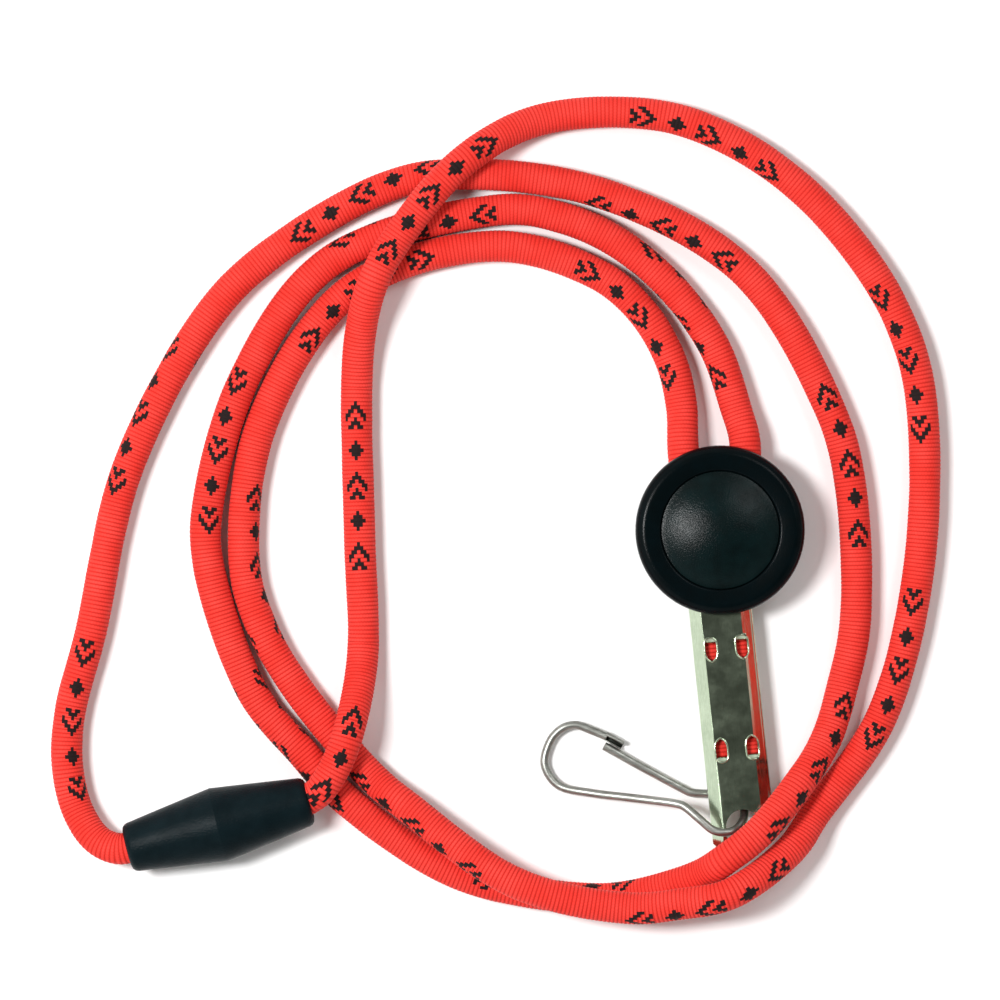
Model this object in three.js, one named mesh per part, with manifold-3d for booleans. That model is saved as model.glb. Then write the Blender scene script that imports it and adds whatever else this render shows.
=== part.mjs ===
// A round-cord lanyard laid out flat: one cord loop with a breakaway barrel at the neck,
// a round cord slider, a folded metal crimp and a wire spring hook.
// Millimetres, +Z up. The lanyard lies on the plane z = 0.
import * as THREE from 'three';
import { mergeVertices } from 'three/addons/utils/BufferGeometryUtils.js';
import Module from 'manifold-3d';

const wasm = await Module();
wasm.setup();

// ---- driving dimensions ------------------------------------------------------------------
const GAP = 0.3;                     // clearance between pieces that touch

const CORD_D = 4.3;                  // round woven cord
const CORD_SIDES = 10;
const CORD_STEPS = 40;               // per strand, a step every 2 to 3 diameters
const CORD_SLACK = 0.2;              // the plain tube is this much thinner than the cord
const CORD_REST_Z = CORD_D / 2;      // centre height of a cord lying on the surface

const CRIMP_AT = [38.2, -25.9];      // middle of the crimp's lower end
const CRIMP_TILT = THREE.MathUtils.degToRad(5.93);
const CRIMP_LENGTH = 38.6;
const CRIMP_WIDTH = 8.5;
const CRIMP_DEPTH = 3.6;
const CRIMP_BACK_Z = 1.5;
const CRIMP_WALL = 0.45;
const CRIMP_FOLD_R = 1.6;            // outside radius of the side folds
const CRIMP_SEAM = 3.4;              // open width between the two back flaps
const CRIMP_FOOT_R = 2;              // rounding of the two lower corners
const WINDOW_R = 2.3;                // window that the hook's eye passes through
const WINDOW_LOW = 1.9;
const WINDOW_HIGH = 3.3;             // centre of the window's round top
const TOOTH = { width: 1.7, length: 3.3, spread: 2.1, shift: 0.25, rows: [13.8, 27.4] };
const SQUASHED = { width: 3.3, depth: 1.9, from: 8.8, corner: 0.7 };

const EYE_AT = [35.5, -20.8];        // middle of the hook's eye
const EYE_R = 2.57;
const WIRE_D = 1.2;
const WIRE_LOW_Z = 0.65;             // wire that lies under the crimp
const WIRE_HIGH_Z = 6.0;             // wire that crosses over the crimp
const WIRE_SIDES = 8;
const TROUGH = { length: 2.7, height: 1.8, depth: 1.05, groove: 1.15, grooveDepth: 0.6 };

const SLIDER_AT = [34.7, 17.28];
const SLIDER_R = 11.4;
const SLIDER_BACK_R = 10.8;
const SLIDER_FLOOR = 1.2;            // thickness of the flat back
const SLIDER_SPLIT_Z = 5.55;         // top of the back shell's two cheeks
const SLIDER_TOP_Z = 8.3;            // crown of the rim
const SLIDER_POCKET_R = 8.1;
const SLIDER_POCKET_Z = 7.0;
const SLIDER_CHANNEL = { top: 7.5, bottom: 5.0 };   // half widths of the cords' way through
const SLIDER_POST = { x: -0.65, y: 6.6, r: 1.2 };   // stands between the two cords
const CAP_R = 7.8;
const CAP_EDGE_Z = 7.75;
const CAP_TOP_Z = 9.4;

const BARREL_AT = [-32.76, -22.35];  // middle of the breakaway barrel
const BARREL_TURN = THREE.MathUtils.degToRad(14.65);
const BARREL_HALF = 12.68;
const BARREL_RIDGE_R = 5.05;
const BARREL_END_R = 3.2;
const BARREL_EDGE_R = 0.5;           // rounding of the two ends
const BARREL_Z = 5.05;               // height of its axis
const BORE_R = 2.35;                 // hole that the cord comes in through
const CHAMBER_R = 2.9;               // room for the cord's melted tip
const PLUG_R = 3.6;
const PLUG_LENGTH = 5.5;
const SOCKET_R = 3.95;

// Where each half of the cord loop lies, from the crimp's mouth to the barrel.
// It rises to z = 6 or more where it passes over another strand or over the crimp.
const RIGHT_ROUTE = [
  [36.4, 13.6, 3.45], [38.2, 28.4, 3.4], [36.9, 33.9, 2.5], [34, 42.1, 2.15],
  [28.2, 50.1, 2.15], [20.8, 56.2, 2.15], [13.2, 59.5, 2.15], [5.1, 60.5, 2.15],
  [-17.7, 53.6, 2.15], [-29, 38.5, 2.15], [-34.2, 21.3, 2.15], [-34.3, 13, 2.15],
  [-28.2, -4.7, 2.15], [-21.7, -12.6, 2.15], [-15.5, -19.3, 2.15], [-0.3, -29.2, 2.15],
  [15.9, -32.4, 2.15], [22.7, -32.1, 2.2], [32.1, -29.1, 5.4], [35.4, -26.9, 7.7],
  [39.8, -23.4, 7.9], [44.6, -17.8, 6.4], [49, -11.1, 3.6], [51.4, -3.6, 2.2],
  [53.1, 5.1, 2.15], [52.4, 23.5, 2.15], [49.7, 33.5, 2.15], [38.1, 52.2, 2.15],
  [18.6, 62.8, 2.15], [-0.9, 65.3, 2.15], [-10.4, 63.5, 2.15], [-27, 53.6, 2.15],
  [-34.6, 45.6, 2.15], [-45.2, 25.4, 2.15], [-50.2, 3.1, 2.15], [-52.9, -7.3, 2.15],
  [-53.3, -14, 2.15], [-52, -20.2, 2.4], [-49.3, -24.3, 3.7], [-46.4, -25.6, 4.6],
];
const LEFT_ROUTE = [
  [32.1, 13.2, 3.4], [29.9, 27.2, 3.4], [29.6, 34.2, 2.4], [28.2, 40.1, 2.15],
  [24.6, 46.4, 2.15], [18.6, 51.6, 2.15], [4.5, 55.6, 2.15], [-14.9, 49.7, 2.15],
  [-27, 31.6, 2.15], [-29.4, 13, 2.15], [-27.1, 4.3, 2.15], [-22.1, -4.3, 2.15],
  [-12.3, -15.9, 2.4], [-7.7, -19.7, 3.9], [7.2, -30.1, 6.35], [22, -33.5, 6.5],
  [29.4, -32.9, 7.7], [36, -31.5, 8.6], [44.3, -25.7, 4.6], [47.7, -20.9, 2.6],
  [56.6, -8, 2.15], [61.8, 13.2, 2.15], [61.8, 36.2, 2.15], [58.7, 46.3, 2.15],
  [53.3, 55.1, 2.15], [45.6, 63.5, 2.15], [36.2, 69.9, 2.15], [26.1, 73.3, 2.15],
  [10.5, 72.6, 2.6], [0, 66.7, 6.4], [-9, 56, 6.45], [-12, 50.4, 6.4],
  [-13.6, 44.3, 3.9], [-14.2, 36.9, 2.2], [-13.8, 15.9, 2.15], [-13.4, 0.4, 2.4],
  [-15.3, -10.1, 6.5], [-16.9, -14.3, 6.6], [-18.5, -17, 6.4], [-19.3, -18, 6.1],
];

// The hook's wire after its eye, measured from the middle of the eye, ending at its tip.
const HOOK_LOWER_ARM = [
  [-1.62, -2.3, WIRE_HIGH_Z], [-3.51, -0.81, 5.9], [-5.67, 0.95, 5.4], [-6.48, 1.22, 5.2],
  [-12, 1.89, 3.4], [-18.1, 2.57, 1.6], [-22.1, 3.38, 0.8],
];
const HOOK_BOW = [
  [-23.6, 4.73, WIRE_LOW_Z], [-24.35, 6.6, WIRE_LOW_Z], [-24.0, 8.5, WIRE_LOW_Z],
  [-23.09, 10.26, 0.7], [-21.6, 11.45, 0.8], [-19.98, 11.7, 0.85], [-18.2, 11.1, 0.9],
  [-15.8, 10.05, 1],
];
const TROUGH_AT = [-14.95, 9.62, 1];
const TROUGH_TURN = THREE.MathUtils.degToRad(-30.3);
const GATE_ARM = [
  [-1.45, 2.4, WIRE_LOW_Z], [-3.2, 2.45, WIRE_LOW_Z], [-4.6, 2.6, WIRE_LOW_Z],
  [-5.94, 3.24, WIRE_LOW_Z], [-10.87, 5.87, 0.8], [-16.3, 8.9, 1],
];

// ---- materials ---------------------------------------------------------------------------
const finish = (color, roughness, metalness) =>
  new THREE.MeshStandardMaterial({ color, roughness, metalness });
const WOVEN_CORD = finish(0xff3a2a, 0.75, 0);
const NICKEL = finish(0xb9bdb4, 0.18, 1);
const SPRING_WIRE = finish(0xb4b3ac, 0.28, 1);
const BLACK_PLASTIC = finish(0x121719, 0.48, 0);

// ---- helpers -----------------------------------------------------------------------------
const vector = ([x, y, z]) => new THREE.Vector3(x, y, z);

// A smooth curve through laid points that never dips under the lowest height it may have.
class LaidCurve extends THREE.Curve {
  constructor(points, lowest) {
    super();
    this.through = new THREE.CatmullRomCurve3(points.map(vector));
    this.lowest = lowest;
  }
  getPoint(t, target = new THREE.Vector3()) {
    this.through.getPoint(t, target);
    target.z = Math.max(target.z, this.lowest);
    return target;
  }
}

function polygon(sides, radius) {
  const corners = [];
  for (let i = 0; i < sides; i += 1) {
    const angle = (2 * Math.PI * (i + 0.5)) / sides;
    corners.push(new THREE.Vector2(radius * Math.cos(angle), radius * Math.sin(angle)));
  }
  return new THREE.Shape(corners);
}

const sweep = (curve, radius, sides, steps) =>
  new THREE.ExtrudeGeometry(polygon(sides, radius), { steps, extrudePath: curve });

function prism(shape, low, high, curveSegments = 10) {
  const geometry = new THREE.ExtrudeGeometry(shape, {
    depth: high - low, bevelEnabled: false, curveSegments,
  });
  geometry.translate(0, 0, low);
  return geometry;
}

function roundedRectangle(width, height, radius) {
  const shape = new THREE.Shape();
  const x = width / 2 - radius;
  const y = height / 2 - radius;
  shape.absarc(x, y, radius, 0, Math.PI / 2);
  shape.absarc(-x, y, radius, Math.PI / 2, Math.PI);
  shape.absarc(-x, -y, radius, Math.PI, 1.5 * Math.PI);
  shape.absarc(x, -y, radius, 1.5 * Math.PI, 2 * Math.PI);
  return shape;
}

function box(width, length, height, x, y, z) {
  const geometry = new THREE.BoxGeometry(width, length, height);
  geometry.translate(x, y, z);
  return geometry;
}

function solid(geometry) {
  const bare = geometry.index ? geometry.toNonIndexed() : geometry.clone();
  bare.deleteAttribute('normal');
  bare.deleteAttribute('uv');
  const merged = mergeVertices(bare, 1e-4);
  return new wasm.Manifold(new wasm.Mesh({
    numProp: 3,
    vertProperties: new Float32Array(merged.attributes.position.array),
    triVerts: new Uint32Array(merged.index.array),
  }));
}

function geometryOf(manifold) {
  const { vertProperties, triVerts } = manifold.getMesh();
  const geometry = new THREE.BufferGeometry();
  geometry.setAttribute('position', new THREE.BufferAttribute(vertProperties, 3));
  geometry.setIndex(new THREE.BufferAttribute(triVerts, 1));
  return geometry;
}

function named(name, geometry, material) {
  const mesh = new THREE.Mesh(geometry, material);
  mesh.name = name;
  return mesh;
}

function revolve(profile, segments = 40) {
  return new THREE.LatheGeometry(profile, segments);
}

const profileOf = (pairs) => pairs.map(([r, y]) => new THREE.Vector2(r, y));

// ---- cord --------------------------------------------------------------------------------
const cordRadius = (CORD_D - CORD_SLACK) / 2;

function cordStrand(name, route) {
  const curve = new LaidCurve(route, CORD_REST_Z);
  return named(name, sweep(curve, cordRadius, CORD_SIDES, CORD_STEPS), WOVEN_CORD);
}

// The cord's end inside the crimp, pressed flat.
function squashedEnd(name, side) {
  const length = CRIMP_LENGTH - SQUASHED.from - GAP;
  const shape = roundedRectangle(SQUASHED.width, SQUASHED.depth, SQUASHED.corner);
  const geometry = prism(shape, 0, length, 4);
  geometry.rotateX(-Math.PI / 2);
  const across = side * (SQUASHED.width + GAP) / 2;
  geometry.translate(across, SQUASHED.from, CRIMP_BACK_Z + CRIMP_DEPTH / 2);
  return named(name, geometry, WOVEN_CORD);
}

// The cord's melted tip inside one half of the barrel, along +Y from the bore to the bead.
function meltedTip(name, side) {
  const tip = revolve(profileOf([
    [0, 7.2], [2.0, 7.2], [2.6, 7.8], [2.6, 9.2], [2.05, 9.7], [2.05, 12.3], [0, 12.3],
  ]), 24);
  tip.rotateZ(-side * Math.PI / 2);
  return named(name, tip, WOVEN_CORD);
}

// ---- crimp -------------------------------------------------------------------------------
function crimpTube() {
  const inner = [CRIMP_WIDTH - 2 * CRIMP_WALL, CRIMP_DEPTH - 2 * CRIMP_WALL];
  const section = roundedRectangle(CRIMP_WIDTH, CRIMP_DEPTH, CRIMP_FOLD_R);
  section.holes.push(roundedRectangle(...inner, CRIMP_FOLD_R - CRIMP_WALL));
  const tube = prism(section, 0, CRIMP_LENGTH, 6);
  tube.rotateX(-Math.PI / 2);
  tube.translate(0, 0, CRIMP_BACK_Z + CRIMP_DEPTH / 2);
  tube.rotateY(Math.PI);
  tube.translate(0, 0, 2 * CRIMP_BACK_Z + CRIMP_DEPTH);
  return solid(tube);
}

function crimpOutline() {
  const half = CRIMP_WIDTH / 2 + 1;
  const corner = CRIMP_WIDTH / 2 - CRIMP_FOOT_R;
  const shape = new THREE.Shape();
  shape.moveTo(half, CRIMP_LENGTH + 1);
  shape.lineTo(-half, CRIMP_LENGTH + 1);
  shape.lineTo(-half, CRIMP_FOOT_R);
  shape.lineTo(-CRIMP_WIDTH / 2, CRIMP_FOOT_R);
  shape.absarc(-corner, CRIMP_FOOT_R, CRIMP_FOOT_R, Math.PI, 1.5 * Math.PI);
  shape.absarc(corner, CRIMP_FOOT_R, CRIMP_FOOT_R, 1.5 * Math.PI, 2 * Math.PI);
  shape.lineTo(half, CRIMP_FOOT_R);
  return solid(prism(shape, -1, CRIMP_BACK_Z + CRIMP_DEPTH + 1, 6));
}

function windowCut() {
  const shape = new THREE.Shape();
  shape.moveTo(-WINDOW_R, WINDOW_LOW);
  shape.lineTo(WINDOW_R, WINDOW_LOW);
  shape.absarc(0, WINDOW_HIGH, WINDOW_R, 0, Math.PI);
  return solid(prism(shape, -1, CRIMP_BACK_Z + CRIMP_DEPTH + 1, 12));
}

// A punched opening with a round end, pointed away from the crimp's middle.
function toothCut(across, along, towardsMiddle) {
  const shape = new THREE.Shape();
  const r = TOOTH.width / 2;
  shape.absarc(0, 0, r, towardsMiddle > 0 ? 0 : Math.PI, towardsMiddle > 0 ? Math.PI : 2 * Math.PI);
  shape.quadraticCurveTo(
    -towardsMiddle * r, -towardsMiddle * (TOOTH.length - r) * 0.7,
    0, -towardsMiddle * (TOOTH.length - r),
  );
  shape.quadraticCurveTo(
    towardsMiddle * r, -towardsMiddle * (TOOTH.length - r) * 0.7,
    towardsMiddle * r, 0,
  );
  const front = CRIMP_BACK_Z + CRIMP_DEPTH;
  const cut = prism(shape, front - CRIMP_WALL - 0.5, front + 0.5, 6);
  cut.translate(across, along, 0);
  return solid(cut);
}

function crimpSleeve() {
  const seamLength = CRIMP_LENGTH + 2 - WINDOW_HIGH;
  const seam = box(CRIMP_SEAM, seamLength, 2 * CRIMP_WALL + 0.4,
    0, WINDOW_HIGH + seamLength / 2, CRIMP_BACK_Z);
  let sleeve = crimpTube().intersect(crimpOutline()).subtract(windowCut()).subtract(solid(seam));
  const [low, high] = TOOTH.rows;
  for (const side of [-1, 1]) {
    const across = TOOTH.shift + side * TOOTH.spread;
    sleeve = sleeve.subtract(toothCut(across, low - 0.8, -1));
    sleeve = sleeve.subtract(toothCut(across, high + 0.8, 1));
  }
  return named('crimp_sleeve', geometryOf(sleeve), NICKEL);
}

// ---- spring hook -------------------------------------------------------------------------
// The eye is a half turn that comes down from over the crimp to under it.
function eyePoints() {
  const points = [];
  for (let degrees = 100; degrees >= -90; degrees -= 19) {
    const angle = THREE.MathUtils.degToRad(degrees);
    const share = THREE.MathUtils.clamp((62 - degrees) / 152, 0, 1);
    const z = THREE.MathUtils.lerp(WIRE_LOW_Z, WIRE_HIGH_Z, share);
    points.push([EYE_R * Math.cos(angle), EYE_R * Math.sin(angle), z]);
  }
  return points;
}

function tipTrough() {
  const { length, height, depth, groove, grooveDepth } = TROUGH;
  const body = box(length, depth, height, 0, 0, 0);
  const channel = box(length - 0.5, grooveDepth, groove, 0.4, (grooveDepth - depth) / 2 - 0.01, 0);
  return solid(body).subtract(solid(channel))
    .rotate([0, 0, THREE.MathUtils.radToDeg(TROUGH_TURN)]).translate(TROUGH_AT);
}

function hookWire() {
  const curve = new LaidCurve([...eyePoints(), ...HOOK_LOWER_ARM, ...HOOK_BOW], WIRE_LOW_Z);
  const wire = solid(sweep(curve, WIRE_D / 2, WIRE_SIDES, 84));
  return named('hook_wire', geometryOf(wire.add(tipTrough())), SPRING_WIRE);
}

function hookGateArm() {
  const curve = new LaidCurve(GATE_ARM, WIRE_LOW_Z);
  return named('hook_gate_arm', sweep(curve, WIRE_D / 2 - 0.05, WIRE_SIDES, 16), SPRING_WIRE);
}

// ---- slider ------------------------------------------------------------------------------
function sliderBack() {
  const disc = solid(prism(polygon(56, SLIDER_BACK_R), 0, SLIDER_SPLIT_Z));
  const reach = SLIDER_R + 1;
  const way = new THREE.Shape();
  way.moveTo(-SLIDER_CHANNEL.bottom, -reach);
  way.lineTo(SLIDER_CHANNEL.bottom, -reach);
  way.lineTo(SLIDER_CHANNEL.top, reach);
  way.lineTo(-SLIDER_CHANNEL.top, reach);
  const post = new THREE.CylinderGeometry(SLIDER_POST.r, SLIDER_POST.r, SLIDER_SPLIT_Z - 0.5, 16);
  post.rotateX(Math.PI / 2);
  post.translate(SLIDER_POST.x, SLIDER_POST.y, SLIDER_SPLIT_Z / 2 + 0.25);
  const back = disc.subtract(solid(prism(way, SLIDER_FLOOR, SLIDER_SPLIT_Z + 1))).add(solid(post));
  return named('slider_back', geometryOf(back), BLACK_PLASTIC);
}

// The domed front with its rounded rim and the round pocket that the cap sits in.
function sliderFront() {
  const low = SLIDER_SPLIT_Z + GAP;
  const rim = new THREE.Path();
  rim.moveTo(0, low);
  rim.lineTo(SLIDER_R - 0.7, low);
  rim.quadraticCurveTo(SLIDER_R, low, SLIDER_R, low + 0.9);
  rim.quadraticCurveTo(SLIDER_R, SLIDER_TOP_Z, SLIDER_R - 1.4, SLIDER_TOP_Z);
  rim.quadraticCurveTo(SLIDER_POCKET_R + 0.6, SLIDER_TOP_Z, SLIDER_POCKET_R, CAP_EDGE_Z - 0.1);
  rim.lineTo(SLIDER_POCKET_R, SLIDER_POCKET_Z);
  rim.lineTo(0, SLIDER_POCKET_Z);
  const geometry = revolve(rim.getPoints(5), 56);
  geometry.rotateX(Math.PI / 2);
  return named('slider_front', geometry, BLACK_PLASTIC);
}

function sliderCap() {
  const base = SLIDER_POCKET_Z + GAP;
  const rise = CAP_TOP_Z - CAP_EDGE_Z;
  const domeR = (CAP_R * CAP_R + rise * rise) / (2 * rise);
  const points = profileOf([[0, base], [CAP_R - 0.2, base], [CAP_R, base + 0.15]]);
  const rings = 8;
  for (let i = rings; i >= 0; i -= 1) {
    const r = (CAP_R * i) / rings;
    const height = CAP_TOP_Z - domeR + Math.sqrt(domeR * domeR - r * r);
    points.push(new THREE.Vector2(r, height));
  }
  const geometry = revolve(points, 48);
  geometry.rotateX(Math.PI / 2);
  return named('slider_cap', geometry, BLACK_PLASTIC);
}

// ---- breakaway barrel --------------------------------------------------------------------
// Outer wall of one half, from the ridge to the rounded end, then into the cord's bore.
function halfShell() {
  const shell = new THREE.Path();
  shell.moveTo(BARREL_RIDGE_R, GAP / 2);
  shell.lineTo(BARREL_END_R, BARREL_HALF - BARREL_EDGE_R);
  shell.quadraticCurveTo(BARREL_END_R - 0.05, BARREL_HALF, BARREL_END_R - BARREL_EDGE_R, BARREL_HALF);
  shell.lineTo(BORE_R + 0.2, BARREL_HALF);
  shell.lineTo(BORE_R, BARREL_HALF - 0.3);
  shell.lineTo(BORE_R, 10);
  shell.lineTo(CHAMBER_R, 9.5);
  return shell.getPoints(4);
}

function closedRing(points) {
  return [...points, points[0].clone()];
}

function breakawaySocket() {
  const inside = profileOf([
    [CHAMBER_R, 6.4], [SOCKET_R, 6.2], [SOCKET_R, 0.6], [SOCKET_R + 0.25, GAP / 2],
  ]);
  const geometry = revolve(closedRing([...halfShell(), ...inside]), 40);
  geometry.rotateZ(-Math.PI / 2);
  return named('breakaway_socket', geometry, BLACK_PLASTIC);
}

function breakawayPlug() {
  const tip = -PLUG_LENGTH;
  const inside = profileOf([
    [CHAMBER_R, tip + 0.2], [CHAMBER_R + 0.2, tip], [PLUG_R - 0.3, tip], [PLUG_R, tip + 0.6],
    [PLUG_R, tip + 1.4], [PLUG_R - 0.25, tip + 1.8], [PLUG_R - 0.25, GAP / 2],
  ]);
  const geometry = revolve(closedRing([...halfShell(), ...inside]), 40);
  geometry.rotateZ(Math.PI / 2);
  return named('breakaway_plug', geometry, BLACK_PLASTIC);
}

// ---- assembly ----------------------------------------------------------------------------
function crimpAssembly() {
  const group = new THREE.Group();
  group.position.set(...CRIMP_AT, 0);
  group.rotation.z = CRIMP_TILT;
  group.add(crimpSleeve(), squashedEnd('cord_end_left', -1), squashedEnd('cord_end_right', 1));
  return group;
}

function hookAssembly() {
  const group = new THREE.Group();
  group.position.set(...EYE_AT, 0);
  group.add(hookWire(), hookGateArm());
  return group;
}

function sliderAssembly() {
  const group = new THREE.Group();
  group.position.set(...SLIDER_AT, 0);
  group.add(sliderBack(), sliderFront(), sliderCap());
  return group;
}

function barrelAssembly() {
  const group = new THREE.Group();
  group.position.set(...BARREL_AT, BARREL_Z);
  group.rotation.z = BARREL_TURN;
  group.add(breakawaySocket(), breakawayPlug());
  group.add(meltedTip('cord_tip_right', 1), meltedTip('cord_tip_left', -1));
  return group;
}

const lanyard = new THREE.Group();
lanyard.add(cordStrand('cord_strand_right', RIGHT_ROUTE));
lanyard.add(cordStrand('cord_strand_left', LEFT_ROUTE));
lanyard.add(crimpAssembly(), hookAssembly(), sliderAssembly(), barrelAssembly());

export default lanyard;
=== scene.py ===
"""A round-cord lanyard laid out flat, with its barrel, slider, crimp and spring hook."""
import math

import bmesh
import bpy
import numpy as np
from mathutils import Matrix, Vector


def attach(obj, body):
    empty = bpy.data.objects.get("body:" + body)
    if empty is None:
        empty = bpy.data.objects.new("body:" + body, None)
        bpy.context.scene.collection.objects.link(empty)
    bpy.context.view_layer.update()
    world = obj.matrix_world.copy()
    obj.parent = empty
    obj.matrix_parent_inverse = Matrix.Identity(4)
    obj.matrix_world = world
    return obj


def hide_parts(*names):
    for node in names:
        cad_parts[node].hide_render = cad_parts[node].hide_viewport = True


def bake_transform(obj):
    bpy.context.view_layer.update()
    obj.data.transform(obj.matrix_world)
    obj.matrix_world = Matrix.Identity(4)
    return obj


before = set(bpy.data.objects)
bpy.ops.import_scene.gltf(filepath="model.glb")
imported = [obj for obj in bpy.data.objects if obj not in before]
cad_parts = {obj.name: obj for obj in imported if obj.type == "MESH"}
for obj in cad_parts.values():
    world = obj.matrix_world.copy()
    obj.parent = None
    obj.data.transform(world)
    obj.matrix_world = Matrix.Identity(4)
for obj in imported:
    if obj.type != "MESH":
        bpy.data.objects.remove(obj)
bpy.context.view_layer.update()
MM = 0.001

# ---- sizes, in millimetres as in the CAD -------------------------------------------------
CORD_R = 2.15
RIB_PITCH = 0.54
RIB_DEPTH = 0.05
RINGS_PER_RIB = 4
CORD_SIDES = 20
STITCH_PITCH = 0.42
PRESSED_ACROSS, PRESSED_UPRIGHT = 1.62, 0.72  # a cord's two half widths inside the crimp
CORD_IN_CRIMP = 29.6
CORD_OFF_MIDDLE = 1.8
CRIMP_AT = (38.2, -25.9)
CRIMP_TILT = math.radians(5.93)
CRIMP_MIDDLE_Z = 3.3
CRIMP_FRONT_Z = 5.1
CRIMP_WIDTH = 8.5
FOLD_R = 1.6
FOLD_SLANT = {-1: 33, 1: 48}  # in degrees, for the left (-1) and the right (1) front fold
FOLD_START = {-1: 0.05, 1: 0.0}
FOOT_FROM, FOOT_SLOPE = 2.6, 0.62
PUNCHES = [(0.25 + side * 2.1, along, towards)
           for along, towards in ((13.0, -1), (28.2, 1)) for side in (-1, 1)]
PUNCH_WIDTH = 1.7
PUNCH_LENGTH = 3.3
PUNCH_RIM_R = 0.14
PRONG_WIDTH, PRONG_ROOT, PRONG_THICKNESS = 1.5, 0.3, 0.34
EYE_AT = (35.5, -20.8)
EYE_R = 2.57
EYE_CLIMB = 5.35
CLIMB_FROM, CLIMB_OVER = 62, 140  # in degrees round the eye
WIRE_R = 0.58
WIRE_LOW_Z = 0.65
TROUGH_AT = (-14.95, 9.62, 1.0)  # from the eye
TROUGH_TURN = math.radians(-29.3)
TROUGH_LENGTH = 2.7
SLIDER_AT = (34.7, 17.28)
DOME_R, DOME_RISE, DOME_TOP = 7.8, 1.65, 9.4
CUP_HALF_WAY = 10.8  # half the length of the cup's cord way
MOUTH_DROP = 1.05
BARREL_AT = (-32.76, -22.35, 5.05)
BARREL_TURN = math.radians(14.65)

# The two halves of the loop, from the crimp's mouth to the barrel.
RIGHT_ROUTE = [
    (36.4, 13.6, 3.45), (38.2, 28.4, 3.4), (36.9, 33.9, 2.5), (34, 42.1, 2.15),
    (28.2, 50.1, 2.15), (20.8, 56.2, 2.15), (13.2, 59.5, 2.15), (5.1, 60.5, 2.15),
    (-17.7, 53.6, 2.15), (-29, 38.5, 2.15), (-34.2, 21.3, 2.15), (-34.3, 13, 2.15),
    (-28.2, -4.7, 2.15), (-21.7, -12.6, 2.15), (-15.5, -19.3, 2.15), (-0.3, -29.2, 2.15),
    (15.9, -32.4, 2.15), (22.7, -32.1, 2.2), (32.1, -29.1, 5.4), (35.4, -26.9, 7.7),
    (39.8, -23.4, 7.9), (44.6, -17.8, 6.4), (49, -11.1, 3.6), (51.4, -3.6, 2.2),
    (53.1, 5.1, 2.15), (52.4, 23.5, 2.15), (49.7, 33.5, 2.15), (38.1, 52.2, 2.15),
    (18.6, 62.8, 2.15), (-0.9, 65.3, 2.15), (-10.4, 63.5, 2.15), (-27, 53.6, 2.15),
    (-34.6, 45.6, 2.15), (-45.2, 25.4, 2.15), (-50.2, 3.1, 2.15), (-52.9, -7.3, 2.15),
    (-53.3, -14, 2.15), (-52, -20.2, 2.4), (-49.3, -24.3, 3.7), (-46.4, -25.6, 4.6),
]
LEFT_ROUTE = [
    (32.1, 13.2, 3.4), (29.9, 27.2, 3.4), (29.6, 34.2, 2.4), (28.2, 40.1, 2.15),
    (24.6, 46.4, 2.15), (18.6, 51.6, 2.15), (4.5, 55.6, 2.15), (-14.9, 49.7, 2.15),
    (-27, 31.6, 2.15), (-29.4, 13, 2.15), (-27.1, 4.3, 2.15), (-22.1, -4.3, 2.15),
    (-12.3, -15.9, 2.4), (-7.7, -19.7, 3.9), (7.2, -30.1, 6.35), (22, -33.5, 6.5),
    (29.4, -32.9, 7.7), (36, -31.5, 8.6), (44.3, -25.7, 4.6), (47.7, -20.9, 2.6),
    (56.6, -8, 2.15), (61.8, 13.2, 2.15), (61.8, 36.2, 2.15), (58.7, 46.3, 2.15),
    (53.3, 55.1, 2.15), (45.6, 63.5, 2.15), (36.2, 69.9, 2.15), (26.1, 73.3, 2.15),
    (10.5, 72.6, 2.6), (0, 66.7, 6.4), (-9, 56, 6.45), (-12, 50.4, 6.4),
    (-13.6, 44.3, 3.9), (-14.2, 36.9, 2.2), (-13.8, 15.9, 2.15), (-13.4, 0.4, 2.4),
    (-15.3, -10.1, 6.5), (-16.9, -14.3, 6.6), (-18.5, -17, 6.4), (-19.3, -18, 6.1),
]
# How far a half has twisted, in degrees, at distances along it from the crimp's mouth.
RIGHT_TWIST = [
    (0, -20), (25, 40), (46, 120), (67, 195), (74, 199), (88, 307), (110, 335), (131, 375),
    (153, 432), (174, 500), (238, 670), (259, 697), (281, 709), (302, 713), (323, 740),
    (343, 775), (370, 881), (387, 908), (407, 1009), (428, 1055), (449, 1076), (470, 1115),
]
LEFT_TWIST = [
    (0, 60), (25, 42), (46, 9), (67, 9), (88, 19), (110, 44), (125, 71), (131, 92),
    (152, 127), (175, 123), (196, 130), (218, 155), (240, 176), (259, 189), (281, 197),
    (301, 215), (323, 215), (343, 197), (366, 185), (385, 178), (428, 176), (449, 186),
]
FIRST_MARK = 24.5
MARK_PERIOD = 42.45
MARK_GROUP = 22.5
MARK_PITCH = 4.75
MARK_ROW = 0.44
BARE_AT_MOUTH = 5.0


# ---- camera ------------------------------------------------------------------------------
CAMERA_AT = (0.00513, 0.02133, 1.002)  # in metres
SENSOR_WIDTH = 36
SEEN_WIDTH = 0.135  # in metres, a metre away


def overhead_camera():
    bpy.ops.object.camera_add(location=CAMERA_AT, rotation=(0, 0, 0))
    camera = bpy.context.object
    camera.data.sensor_width = SENSOR_WIDTH
    camera.data.lens = SENSOR_WIDTH / SEEN_WIDTH
    camera.data.clip_end = 10
    bpy.context.scene.camera = camera


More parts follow.
